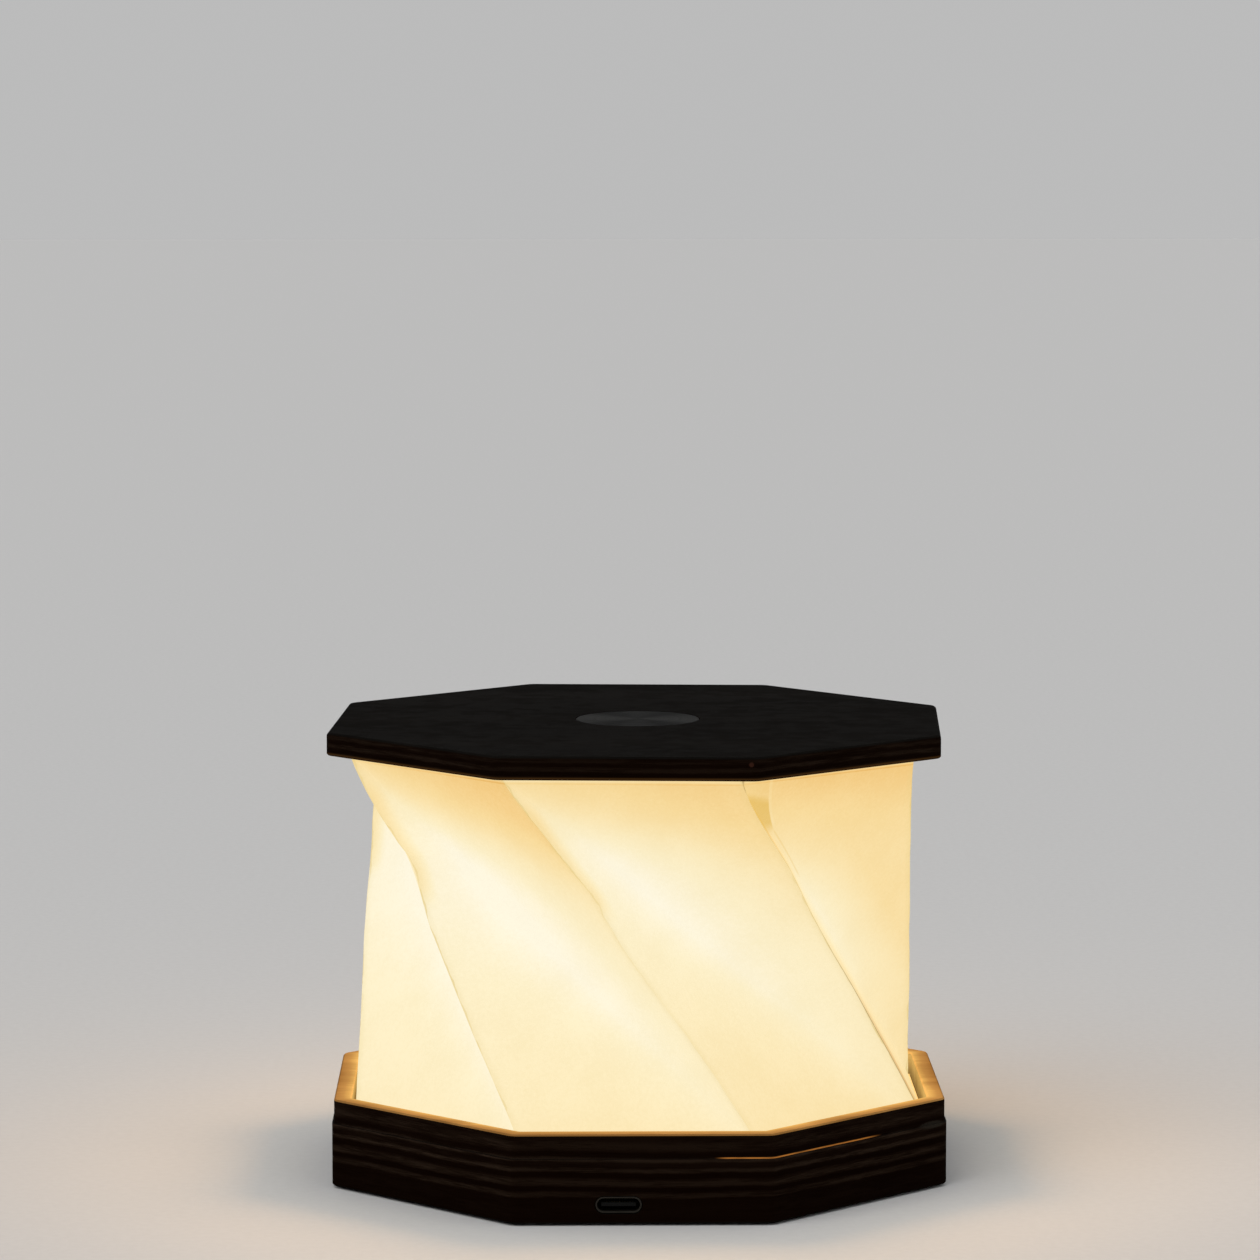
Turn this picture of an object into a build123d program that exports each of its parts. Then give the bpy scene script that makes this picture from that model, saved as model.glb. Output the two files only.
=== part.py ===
from build123d import *
import math
import os

# Folding paper desk lamp, eight sided. A twist folded paper shade stands between a wooden
# base and a wooden top plate. The base is four layers of plywood, three glued and the bottom
# one screwed on, round a battery, a charging board with its socket and a round light board.
# Lengths are in millimetres.
# Z is up, the floor is at Z 0, the charging socket is in the front face, towards -Y.

# Wooden layers
sides = 8
across_flats = 122.0         # top plate and rim
block_overhang = 0.4         # the lower layers stand out past the rim
corner_radius = 3.0          # upright corners of every layer
edge_ease = 0.3              # sanded edge of the rim and the bottom plate
pad_stand = 0.5              # lift of the silicone pads
floor_thickness = 5.1        # bottom plate
ring_thickness = 5.3         # middle ring, round the battery
deck_thickness = 2.2         # deck under the shade
rim_thickness = 4.8          # rim that hides the folded shade
ring_wall = 9.0
rim_wall = 3.5
rim_inner_radius = 0.8       # upright corners inside the rim
plate_thickness = 4.6        # top plate
plate_ease = 0.8             # rounder upper edge of the top plate

# Paper shade
shade_height = 72.95
shade_rim_gap = 0.6          # the shade's lower edge stands this far inside the rim
plate_overhang = 5.3         # the top plate stands out this far past the shade's upper edge
shade_wall = 0.5             # radial, so the slanted panels are a little thinner
open_twist = 3.0             # the top plate stands this far clockwise of the base, in degrees
glue_ring_thickness = 0.3
glue_ring_width = 6.0
glue_ring_margin = 0.3       # the ring shows past the folded edge
closed_gap = 0.1             # left between plate and rim when shut

# Metal disc and the two magnets
disc_diameter = 25.0
disc_thickness = 1.0
disc_chamfer = 0.15
magnet_diameter = 12.0
plate_magnet_height = 2.4
base_magnet_height = 2.5
seat_clearance = 0.1         # round parts in their recesses, on the radius

# Charging socket
socket_x = -4.65             # it sits left of the middle of the front face
socket_mouth_width = 8.34
socket_mouth_height = 2.56
socket_sheet = 0.3
socket_length = 7.35
socket_recess = 0.2          # behind the wooden face
socket_slot_gap = 0.18       # round the socket in its slot
tongue_width = 6.69
tongue_thickness = 0.7
tongue_length = 4.4
tongue_block = 2.2           # moulded block at the back of the socket
mould_gap = 0.03

# Charging board and its pocket
floor_web = 1.1              # wood left under the pockets
pocket_radius = 2.0
board_width = 26.0
board_depth = 20.0
board_thickness = 1.0
board_gap = 0.3              # board to pocket wall
socket_wood = 1.6            # wood between the pocket and the front face
chip_size = (5.0, 4.0, 1.5)
coil_size = (5.0, 5.0, 3.0)
capacitor_size = (1.6, 3.2, 1.6)
capacitor_count = 3
capacitor_pitch = 2.6
header_size = (7.5, 6.0, 5.0)
plug_size = (8.0, 4.4, 3.4)
plug_depth = 5.0             # how far the plug goes into the header
plug_gap = 0.1
plug_chamfer = 0.3

# Battery
cell_length = 47.0
cell_width = 34.0
cell_height = 6.0
cell_corner = 1.6
cell_y = 2.0
guard_length = 3.0           # protection board on the end of the cell
guard_width = 26.0
guard_height = 3.6
tape_thickness = 0.3
tape_inset = 3.0
cell_gap = 0.8               # cell to pocket wall

# Leads
lead_diameter = 1.2
lead_pitch = 2.0
lead_bend = 1.8
lead_sides = 6               # the covers are modelled with flats
channel_width = 6.0

# Light board
light_board_diameter = 44.0
light_board_thickness = 1.0
emitter_count = 12
emitter_inset = 6.5          # from the edge of the board to the emitters' circle
emitter_size = (3.5, 2.8, 0.75)
sensor_size = (2.9, 1.3, 1.1)
sensor_gap = 3.25            # sensor to magnet
lead_hole_radius = 3.0
lead_hole_inset = 5.5        # from the edge of the board to the middle of the hole
light_screw_inset = 3.0

# Screws and pads
screw_diameter = 2.5
screw_head_diameter = 5.0
screw_head_height = 1.25
screw_length = 8.5
screw_sink = 0.1
screw_inset = 6.0            # from the corners of the octagon
screw_hole_gap = 0.15
thread_gap = 0.05
light_screw_diameter = 2.0
light_screw_head = 3.6
light_screw_head_height = 1.1
light_screw_length = 2.0
pad_diameter = 8.0
pad_inset = 8.5
fixing_count = 4

# Levels, from the floor up
floor_z = pad_stand
ring_z = floor_z + floor_thickness
deck_z = ring_z + ring_thickness
rim_z = deck_z + deck_thickness
rim_top_z = rim_z + rim_thickness
shade_z = rim_z + glue_ring_thickness
shade_top_z = shade_z + shade_height
plate_z = shade_top_z + glue_ring_thickness
plate_top_z = plate_z + plate_thickness
pocket_z = floor_z + floor_web
board_top_z = pocket_z + board_thickness

# Plan sizes
step = 360.0 / sides
flat_front = step / 2                    # turns a corner first octagon to stand on its flat
rim_inradius = across_flats / 2
block_inradius = rim_inradius + block_overhang
ring_inner = block_inradius - ring_wall
rim_inner = rim_inradius - rim_wall
corner_ratio = 1 / math.cos(math.radians(step / 2))    # corner radius over inradius
shade_bottom_inradius = rim_inner - shade_rim_gap
shade_bottom_radius = shade_bottom_inradius * corner_ratio
shade_top_inradius = rim_inradius - plate_overhang
shade_top_radius = shade_top_inradius * corner_ratio
screw_circle = block_inradius * corner_ratio - screw_inset
pad_circle = block_inradius * corner_ratio - pad_inset
socket_width = socket_mouth_width + 2 * socket_sheet
socket_height = socket_mouth_height + 2 * socket_sheet
socket_z = board_top_z + socket_height / 2
socket_mouth_y = -block_inradius + socket_recess
board_front_y = -block_inradius + socket_wood + board_gap
board_back_y = board_front_y + board_depth
board_left_x = socket_x - board_width / 2
cell_pack_length = cell_length + guard_length
cell_left_x = -cell_pack_length / 2
cell_z = pocket_z + tape_thickness
light_board_z = rim_z - light_board_thickness
light_screw_spacing = light_board_diameter - 2 * light_screw_inset
lead_hole_y = lead_hole_inset - light_board_diameter / 2
emitter_circle = light_board_diameter / 2 - emitter_inset
sensor_y = magnet_diameter / 2 + sensor_gap + sensor_size[1] / 2


# Bottom plate: a pocketed board that the battery and the charging board lie in
channel_x = cell_left_x - cell_gap - channel_width / 2
header_y = board_back_y - board_gap - header_size[1] / 2
slot_depth = ring_wall + socket_wood

with BuildPart() as bottom_plate:
    with BuildSketch(Plane.XY.offset(floor_z)) as outline:
        RegularPolygon(block_inradius, sides, major_radius=False, rotation=flat_front)
        fillet(outline.vertices(), corner_radius)
    extrude(amount=floor_thickness)
    chamfer(bottom_plate.faces().sort_by(Axis.Z)[0].edges(), edge_ease)
    with BuildSketch(Plane.XY.offset(pocket_z)) as pockets:
        with Locations((0, cell_y)):
            Rectangle(cell_pack_length + 2 * cell_gap, cell_width + 2 * cell_gap)
        with Locations((socket_x, (board_front_y + board_back_y) / 2)):
            Rectangle(board_width + 2 * board_gap, board_depth + 2 * board_gap)
        with Locations((channel_x, (header_y + cell_y) / 2)):
            Rectangle(channel_width, cell_y - header_y + 2 * header_size[1])
        with Locations(((channel_x + board_left_x) / 2, header_y)):
            Rectangle(board_left_x - channel_x + channel_width, header_size[1])
        fillet(pockets.vertices().filter_by_position(Axis.X, 0, rim_inradius), pocket_radius)
    extrude(amount=floor_thickness, mode=Mode.SUBTRACT)
    with BuildSketch(Plane.XZ.offset(block_inradius)):
        with Locations((socket_x, socket_z)):
            SlotOverall(socket_width + 2 * socket_slot_gap, socket_height + 2 * socket_slot_gap)
    extrude(amount=-2 * socket_wood, mode=Mode.SUBTRACT)
    # Seen from below, so the angles run the other way round
    with Locations(Plane(origin=(0, 0, floor_z), x_dir=(1, 0, 0), z_dir=(0, 0, -1))):
        with PolarLocations(screw_circle, fixing_count, start_angle=-flat_front):
            CounterSinkHole(
                screw_diameter / 2 + screw_hole_gap,
                screw_head_diameter / 2 + screw_hole_gap,
                depth=floor_thickness,
                counter_sink_angle=90,
            )
bottom_plate.part.label = "bottom_plate"
export_step(bottom_plate.part, "parts/bottom_plate.step")


# Middle ring: the wall round the battery, with a shallow relief over the socket
screw_head_z = floor_z + screw_sink
screw_tip_z = screw_head_z + screw_length
pilot_margin = 0.6

with BuildPart() as middle_ring:
    with BuildSketch(Plane.XY.offset(ring_z)) as outline:
        RegularPolygon(block_inradius, sides, major_radius=False, rotation=flat_front)
        fillet(outline.vertices(), corner_radius)
    extrude(amount=ring_thickness)
    with BuildSketch(Plane.XY.offset(ring_z)):
        RegularPolygon(ring_inner, sides, major_radius=False, rotation=flat_front)
    extrude(amount=ring_thickness, mode=Mode.SUBTRACT)
    with BuildSketch(Plane.XZ.offset(block_inradius)):
        with Locations((socket_x, socket_z)):
            SlotOverall(socket_width + 2 * socket_slot_gap, socket_height + 2 * socket_slot_gap)
    extrude(amount=-slot_depth, mode=Mode.SUBTRACT)
    with BuildSketch(Plane.XY.offset(ring_z)):
        with PolarLocations(screw_circle, fixing_count, start_angle=flat_front):
            Circle(screw_diameter / 2 + thread_gap)
    extrude(amount=screw_tip_z - ring_z + pilot_margin, mode=Mode.SUBTRACT)
middle_ring.part.label = "middle_ring"
export_step(middle_ring.part, "parts/middle_ring.step")


# Deck: closes the base and carries the light board in a shallow recess
with BuildPart() as deck_plate:
    with BuildSketch(Plane.XY.offset(deck_z)) as outline:
        RegularPolygon(block_inradius, sides, major_radius=False, rotation=flat_front)
        fillet(outline.vertices(), corner_radius)
    extrude(amount=deck_thickness)
    with BuildSketch(Plane.XY.offset(light_board_z)):
        Circle(light_board_diameter / 2 + seat_clearance)
    extrude(amount=light_board_thickness, mode=Mode.SUBTRACT)
    with BuildSketch(Plane.XY.offset(deck_z)):
        with Locations((0, lead_hole_y)):
            Circle(lead_hole_radius)
        with GridLocations(light_screw_spacing, 0, 2, 1):
            Circle(light_screw_diameter / 2 + thread_gap)
    extrude(amount=deck_thickness, mode=Mode.SUBTRACT)
deck_plate.part.label = "deck_plate"
export_step(deck_plate.part, "parts/deck_plate.step")


# Rim: the thin walled tray that the shade folds into
with BuildPart() as rim_ring:
    with BuildSketch(Plane.XY.offset(rim_z)) as outline:
        RegularPolygon(rim_inradius, sides, major_radius=False, rotation=flat_front)
        fillet(outline.vertices(), corner_radius)
    extrude(amount=rim_thickness)
    with BuildSketch(Plane.XY.offset(rim_z)) as opening:
        RegularPolygon(rim_inner, sides, major_radius=False, rotation=flat_front)
        fillet(opening.vertices(), rim_inner_radius)
    extrude(amount=rim_thickness, mode=Mode.SUBTRACT)
    chamfer(rim_ring.faces().sort_by(Axis.Z)[-1].edges(), edge_ease)
rim_ring.part.label = "rim_ring"
export_step(rim_ring.part, "parts/rim_ring.step")


# Silicone pads under the base
with BuildPart() as foot_pads:
    with BuildSketch():
        with PolarLocations(pad_circle, fixing_count, start_angle=flat_front + step):
            Circle(pad_diameter / 2)
    extrude(amount=pad_stand)
foot_pads.part.label = "foot_pads"
export_step(foot_pads.part, "parts/foot_pads.step")


# Countersunk screws that hold the bottom plate to the ring
with BuildPart() as case_screws:
    with PolarLocations(screw_circle, fixing_count, start_angle=flat_front):
        with Locations((0, 0, screw_head_z)):
            Cone(
                screw_head_diameter / 2,
                screw_diameter / 2,
                screw_head_height,
                align=(Align.CENTER, Align.CENTER, Align.MIN),
            )
            Cylinder(screw_diameter / 2, screw_length, align=(Align.CENTER, Align.CENTER, Align.MIN))
case_screws.part.label = "case_screws"
export_step(case_screws.part, "parts/case_screws.step")


# Charging socket: a drawn metal shell, closed at the back
with BuildPart() as usb_shell:
    with BuildSketch(Plane.XZ.offset(-socket_mouth_y)):
        with Locations((socket_x, socket_z)):
            SlotOverall(socket_width, socket_height)
    extrude(amount=-socket_length)
    with BuildSketch(Plane.XZ.offset(-socket_mouth_y)):
        with Locations((socket_x, socket_z)):
            SlotOverall(socket_mouth_width, socket_mouth_height)
    extrude(amount=-(socket_length - socket_sheet), mode=Mode.SUBTRACT)
usb_shell.part.label = "usb_shell"
export_step(usb_shell.part, "parts/usb_shell.step")


# The socket's moulded block and its contact tongue
block_back_y = socket_mouth_y + socket_length - socket_sheet - mould_gap
block_front_y = block_back_y - tongue_block

with BuildPart() as usb_tongue:
    with BuildSketch(Plane.XZ.offset(-block_front_y)):
        with Locations((socket_x, socket_z)):
            SlotOverall(socket_mouth_width - 2 * mould_gap, socket_mouth_height - 2 * mould_gap)
    extrude(amount=-tongue_block)
    with BuildSketch(Plane.XZ.offset(-block_front_y)):
        with Locations((socket_x, socket_z)):
            Rectangle(tongue_width, tongue_thickness)
    extrude(amount=tongue_length)
usb_tongue.part.label = "usb_tongue"
export_step(usb_tongue.part, "parts/usb_tongue.step")


# Charging board
with BuildPart() as charge_board:
    with BuildSketch(Plane.XY.offset(pocket_z)):
        with Locations((socket_x, (board_front_y + board_back_y) / 2)):
            RectangleRounded(board_width, board_depth, pocket_radius - board_gap)
    extrude(amount=board_thickness)
charge_board.part.label = "charge_board"
export_step(charge_board.part, "parts/charge_board.step")


# Parts soldered on the charging board
parts_gap = 1.0
chip_y = socket_mouth_y + socket_length + parts_gap + chip_size[1] / 2
coil_x = socket_x + chip_size[0] / 2 + parts_gap + coil_size[0] / 2
capacitor_y = chip_y + chip_size[1] / 2 + parts_gap + capacitor_size[1] / 2
header_x = board_left_x + header_size[0] / 2

with BuildPart() as charge_chip:
    with BuildSketch(Plane.XY.offset(board_top_z)):
        with Locations((socket_x, chip_y)):
            Rectangle(chip_size[0], chip_size[1])
    extrude(amount=chip_size[2])
    chamfer(charge_chip.faces().sort_by(Axis.Z)[-1].edges(), chip_size[2] / 6)
charge_chip.part.label = "charge_chip"
export_step(charge_chip.part, "parts/charge_chip.step")

with BuildPart() as power_coil:
    with BuildSketch(Plane.XY.offset(board_top_z)):
        with Locations((coil_x, chip_y)):
            Rectangle(coil_size[0], coil_size[1])
    extrude(amount=coil_size[2])
power_coil.part.label = "power_coil"
export_step(power_coil.part, "parts/power_coil.step")

with BuildPart() as board_capacitors:
    with BuildSketch(Plane.XY.offset(board_top_z)):
        with Locations((socket_x, capacitor_y)):
            with GridLocations(capacitor_pitch, 0, capacitor_count, 1):
                Rectangle(capacitor_size[0], capacitor_size[1])
    extrude(amount=capacitor_size[2])
board_capacitors.part.label = "board_capacitors"
export_step(board_capacitors.part, "parts/board_capacitors.step")

# The battery's header opens to the left, and the plug on the leads goes into it
header_mid_z = board_top_z + header_size[2] / 2
cavity_width = plug_size[1] + 2 * plug_gap
cavity_height = plug_size[2] + 2 * plug_gap
plug_x = board_left_x + plug_depth - plug_size[0] / 2 - plug_gap

with BuildPart() as battery_header:
    with Locations((header_x, header_y, header_mid_z)):
        Box(header_size[0], header_size[1], header_size[2])
    with Locations((board_left_x + plug_depth / 2, header_y, header_mid_z)):
        Box(plug_depth, cavity_width, cavity_height, mode=Mode.SUBTRACT)
battery_header.part.label = "battery_header"
export_step(battery_header.part, "parts/battery_header.step")

with BuildPart() as battery_plug:
    with Locations((plug_x, header_y, header_mid_z)):
        Box(plug_size[0], plug_size[1], plug_size[2])
    chamfer(battery_plug.faces().sort_by(Axis.X)[0].edges(), plug_chamfer)
battery_plug.part.label = "battery_plug"
export_step(battery_plug.part, "parts/battery_plug.step")


# Battery pouch on its tape, with the protection board across its left end
with BuildPart() as battery_tape:
    with BuildSketch(Plane.XY.offset(pocket_z)):
        with Locations((guard_length / 2, cell_y)):
            Rectangle(cell_length - 2 * tape_inset, cell_width - 2 * tape_inset)
    extrude(amount=tape_thickness)
battery_tape.part.label = "battery_tape"
export_step(battery_tape.part, "parts/battery_tape.step")

with BuildPart() as battery_cell:
    with Locations((guard_length / 2, cell_y, cell_z + cell_height / 2)):
        Box(cell_length, cell_width, cell_height)
    fillet(battery_cell.edges().filter_by(Axis.X), cell_corner)
battery_cell.part.label = "battery_cell"
export_step(battery_cell.part, "parts/battery_cell.step")

guard_mid_z = cell_z + cell_height / 2
with BuildPart() as cell_guard_board:
    with Locations((cell_left_x + guard_length / 2, cell_y, guard_mid_z)):
        Box(guard_length, guard_width, guard_height)
cell_guard_board.part.label = "cell_guard_board"
export_step(cell_guard_board.part, "parts/cell_guard_board.step")


# Two leads from the protection board, down the channel, to the plug
lead_z = header_mid_z
plug_back_x = plug_x - plug_size[0] / 2

with BuildPart() as battery_leads:
    for side in (-1, 1):
        offset_in = side * lead_pitch / 2
        start = (cell_left_x, cell_y + offset_in, lead_z)
        turn_one = (channel_x - offset_in, cell_y + offset_in, lead_z)
        turn_two = (channel_x - offset_in, header_y - offset_in, lead_z)
        end = (plug_back_x, header_y - offset_in, lead_z)
        with BuildLine() as route:
            FilletPolyline(start, turn_one, turn_two, end, radius=lead_bend)
        with BuildSketch(Plane(origin=start, z_dir=(-1, 0, 0))):
            RegularPolygon(lead_diameter / 2, lead_sides)
        sweep(path=route.wires()[0])
battery_leads.part.label = "battery_leads"
export_step(battery_leads.part, "parts/battery_leads.step")


# Two leads from the charging board, up through the deck, to the light board
light_lead_x = coil_x
light_lead_y = capacitor_y
light_lead_z = deck_z - lead_diameter

with BuildPart() as light_leads:
    for side in (-1, 1):
        x = light_lead_x + side * lead_pitch / 2
        hole_x = side * lead_pitch / 2
        start = (x, light_lead_y, board_top_z)
        turn_one = (x, light_lead_y, light_lead_z)
        turn_two = (hole_x, lead_hole_y, light_lead_z)
        end = (hole_x, lead_hole_y, light_board_z)
        with BuildLine() as route:
            FilletPolyline(start, turn_one, turn_two, end, radius=lead_bend / 2)
        with BuildSketch(Plane(origin=start, z_dir=(0, 0, 1))):
            RegularPolygon(lead_diameter / 2, lead_sides)
        sweep(path=route.wires()[0])
light_leads.part.label = "light_leads"
export_step(light_leads.part, "parts/light_leads.step")


# Round light board with its emitters, the opening sensor and two screws
with BuildPart() as light_board:
    with BuildSketch(Plane.XY.offset(light_board_z)):
        Circle(light_board_diameter / 2)
        Circle(magnet_diameter / 2 + seat_clearance, mode=Mode.SUBTRACT)
        with GridLocations(light_screw_spacing, 0, 2, 1):
            Circle(light_screw_diameter / 2 + screw_hole_gap, mode=Mode.SUBTRACT)
    extrude(amount=light_board_thickness)
light_board.part.label = "light_board"
export_step(light_board.part, "parts/light_board.step")

with BuildPart() as emitters:
    with BuildSketch(Plane.XY.offset(rim_z)):
        with PolarLocations(emitter_circle, emitter_count, start_angle=360 / emitter_count / 2):
            Rectangle(emitter_size[1], emitter_size[0])
    extrude(amount=emitter_size[2])
emitters.part.label = "emitters"
export_step(emitters.part, "parts/emitters.step")

with BuildPart() as opening_sensor:
    with BuildSketch(Plane.XY.offset(rim_z)):
        with Locations((0, sensor_y)):
            Rectangle(sensor_size[0], sensor_size[1])
    extrude(amount=sensor_size[2])
opening_sensor.part.label = "opening_sensor"
export_step(opening_sensor.part, "parts/opening_sensor.step")

with BuildPart() as light_screws:
    with BuildSketch(Plane.XY.offset(rim_z)):
        with GridLocations(light_screw_spacing, 0, 2, 1):
            Circle(light_screw_head / 2)
    extrude(amount=light_screw_head_height)
    with BuildSketch(Plane.XY.offset(rim_z)):
        with GridLocations(light_screw_spacing, 0, 2, 1):
            Circle(light_screw_diameter / 2)
    extrude(amount=-light_screw_length)
light_screws.part.label = "light_screws"
export_step(light_screws.part, "parts/light_screws.step")

with BuildPart() as base_magnet:
    with BuildSketch(Plane.XY.offset(light_board_z)):
        Circle(magnet_diameter / 2)
    extrude(amount=base_magnet_height)
base_magnet.part.label = "base_magnet"
export_step(base_magnet.part, "parts/base_magnet.step")


# Adhesive rings that bond the shade's folded edges to the deck and to the top plate
with BuildPart() as lower_glue_ring:
    with BuildSketch(Plane.XY.offset(rim_z)):
        outer = shade_bottom_inradius + glue_ring_margin
        RegularPolygon(outer, sides, major_radius=False, rotation=flat_front)
        RegularPolygon(
            outer - glue_ring_width, sides, major_radius=False, rotation=flat_front, mode=Mode.SUBTRACT
        )
    extrude(amount=glue_ring_thickness)
lower_glue_ring.part.label = "lower_glue_ring"
export_step(lower_glue_ring.part, "parts/lower_glue_ring.step")

with BuildPart() as upper_glue_ring:
    with BuildSketch(Plane.XY.offset(shade_top_z)):
        outer = shade_top_inradius + glue_ring_margin
        turn = flat_front - open_twist
        RegularPolygon(outer, sides, major_radius=False, rotation=turn)
        RegularPolygon(
            outer - glue_ring_width, sides, major_radius=False, rotation=turn, mode=Mode.SUBTRACT
        )
    extrude(amount=glue_ring_thickness)
upper_glue_ring.part.label = "upper_glue_ring"
export_step(upper_glue_ring.part, "parts/upper_glue_ring.step")


# Paper shade: eight sides, each folded in two triangles. A ridge runs from every upper
# corner to the lower corner one step on, and a valley to the lower corner two steps on.
def shade_corners(radius, level, turn):
    """The corners of one octagonal edge, the first at the left end of the front."""
    corners = []
    for k in range(sides):
        angle = math.radians(-90 - step / 2 + k * step + turn)
        corners.append((radius * math.cos(angle), radius * math.sin(angle), level))
    return corners


def folded_panels(lower, upper):
    """The two triangles of each side, between a lower and an upper edge."""
    panels = []
    for k in range(sides):
        top_here = upper[k]
        top_next = upper[(k + 1) % sides]
        ridge_foot = lower[(k + 1) % sides]
        valley_foot = lower[(k + 2) % sides]
        panels.append(Face(Wire.make_polygon([top_here, ridge_foot, valley_foot])))
        panels.append(Face(Wire.make_polygon([top_here, valley_foot, top_next])))
    return panels


def edge_face(outer, inner):
    """The flat end of the paper wall, between its outer and inner outlines."""
    return Face(Wire.make_polygon(outer), [Wire.make_polygon(inner)])


outside_bottom = shade_corners(shade_bottom_radius, shade_z, 0.0)
outside_top = shade_corners(shade_top_radius, shade_top_z, -open_twist)
inside_bottom = shade_corners(shade_bottom_radius - shade_wall, shade_z, 0.0)
inside_top = shade_corners(shade_top_radius - shade_wall, shade_top_z, -open_twist)

with BuildPart() as shade:
    skin = folded_panels(outside_bottom, outside_top)
    skin += folded_panels(inside_bottom, inside_top)
    skin.append(edge_face(outside_bottom, inside_bottom))
    skin.append(edge_face(outside_top, inside_top))
    add(Solid(Shell(skin)))
shade.part.label = "shade"
export_step(shade.part, "parts/shade.step")


# Top plate, with the disc let in flush above and the magnet below
with BuildPart() as top_plate:
    with BuildSketch(Plane.XY.offset(plate_z)) as outline:
        RegularPolygon(
            rim_inradius, sides, major_radius=False, rotation=flat_front - open_twist
        )
        fillet(outline.vertices(), corner_radius)
    extrude(amount=plate_thickness)
    fillet(top_plate.faces().sort_by(Axis.Z)[-1].edges(), plate_ease)
    chamfer(top_plate.faces().sort_by(Axis.Z)[0].edges(), edge_ease)
    with BuildSketch(Plane.XY.offset(plate_top_z - disc_thickness)):
        Circle(disc_diameter / 2 + seat_clearance)
    extrude(amount=disc_thickness, mode=Mode.SUBTRACT)
    with BuildSketch(Plane.XY.offset(plate_z)):
        Circle(magnet_diameter / 2 + seat_clearance)
    extrude(amount=plate_magnet_height, mode=Mode.SUBTRACT)
top_plate.part.label = "top_plate"
export_step(top_plate.part, "parts/top_plate.step")

with BuildPart() as top_disc:
    with BuildSketch(Plane.XY.offset(plate_top_z - disc_thickness)):
        Circle(disc_diameter / 2)
    extrude(amount=disc_thickness)
    chamfer(top_disc.edges().group_by(Axis.Z)[-1], disc_chamfer)
top_disc.part.label = "top_disc"
export_step(top_disc.part, "parts/top_disc.step")

with BuildPart() as plate_magnet:
    with BuildSketch(Plane.XY.offset(plate_z)):
        Circle(magnet_diameter / 2)
    extrude(amount=plate_magnet_height)
plate_magnet.part.label = "plate_magnet"
export_step(plate_magnet.part, "parts/plate_magnet.step")


# Sizes that the joints are set from
closing_travel = plate_z - rim_top_z - closed_gap
closing_turn = step - open_twist
print(f"closing travel {closing_travel:.3f} mm, closing turn {closing_turn:.2f} degrees")
print(f"overall height {plate_top_z:.2f} mm, socket centre height {socket_z:.2f} mm")
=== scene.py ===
import bpy
import bmesh
import math
from mathutils import Matrix, Vector, noise


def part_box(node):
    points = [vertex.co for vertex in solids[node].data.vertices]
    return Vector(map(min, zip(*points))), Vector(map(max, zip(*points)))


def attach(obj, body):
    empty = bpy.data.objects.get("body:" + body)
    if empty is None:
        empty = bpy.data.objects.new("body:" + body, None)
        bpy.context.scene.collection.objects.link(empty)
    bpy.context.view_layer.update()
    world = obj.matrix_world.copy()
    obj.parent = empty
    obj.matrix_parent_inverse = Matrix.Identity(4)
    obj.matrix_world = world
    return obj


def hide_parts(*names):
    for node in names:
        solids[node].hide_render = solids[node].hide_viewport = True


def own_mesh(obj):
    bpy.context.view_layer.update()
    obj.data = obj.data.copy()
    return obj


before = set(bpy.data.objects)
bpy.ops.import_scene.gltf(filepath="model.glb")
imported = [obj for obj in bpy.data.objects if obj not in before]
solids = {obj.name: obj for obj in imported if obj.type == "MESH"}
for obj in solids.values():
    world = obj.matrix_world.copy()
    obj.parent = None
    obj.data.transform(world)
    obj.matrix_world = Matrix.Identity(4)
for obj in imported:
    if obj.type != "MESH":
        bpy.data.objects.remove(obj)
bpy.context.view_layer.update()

# Camera, where the photograph was taken from: lens in millimetres, place in metres, turns in degrees
CAMERA_LENS = 151.01
CAMERA_PLACE = (-0.01719, -1.06442, 0.22175)
CAMERA_DOWN = 6.029
CAMERA_RIGHT = 0.842

# Where the wood's layers lie and where light falls on it: heights, or distances from the axis, in
# millimetres. The ends of the open seam are angles round the axis, in radians
BASE_LAYERS = (0.0, 18.0)
PLATE_LAYERS = (86.65, 91.25)
DECK_FACE = (13.0, 13.08)
DECK_GAP = (59.5, 58.5)
RIM_FACE = (17.2, 17.6)
RIM_BAND = (61.2, 57.4)
RIM_WALL = (13.5, 17.5)
SEAM_LEVEL = 13.18
SEAM_START = (-1.35, -1.3)
SEAM_END = (-0.68, -0.78)
PLATE_LOW_EDGE = (87.45, 86.7)
PLATE_UNDERSIDE = (86.85, 86.7)
PLATE_LIT_REACH = (66.0, 57.0)
SLANT = 0.7071

# The wood's colours. A lighter spot is its place, its reach, how flat it is, and its colour
BLACK = (0.0, 0.0, 0.0)
SCORCHED = (0.0036, 0.0011, 0.0003)
BURNT_AND_SHADED = (0.0032, 0.001, 0.0003)
PALE_PLY = (0.03, 0.019, 0.0125)
PORE = (0.003, 0.002, 0.0015)
WALNUT = ((0.0042, 0.0036, 0.003), (0.0068, 0.0058, 0.0049))
LIT_VENEER = ((0.08, 0.04, 0.015), (0.15, 0.08, 0.03))
# Ragged wood at the base's right front corner, made lighter with a painted highlight
RAGGED_CORNER_HIGHLIGHT = ((58.6, -28.6, 13.1), 4.5, 5.0, (0.02, 0.0165, 0.0125))
WORN_CHIP = ((20.8, -62.2, 89.9), 0.6, 1.0, (0.035, 0.013, 0.008))

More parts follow.
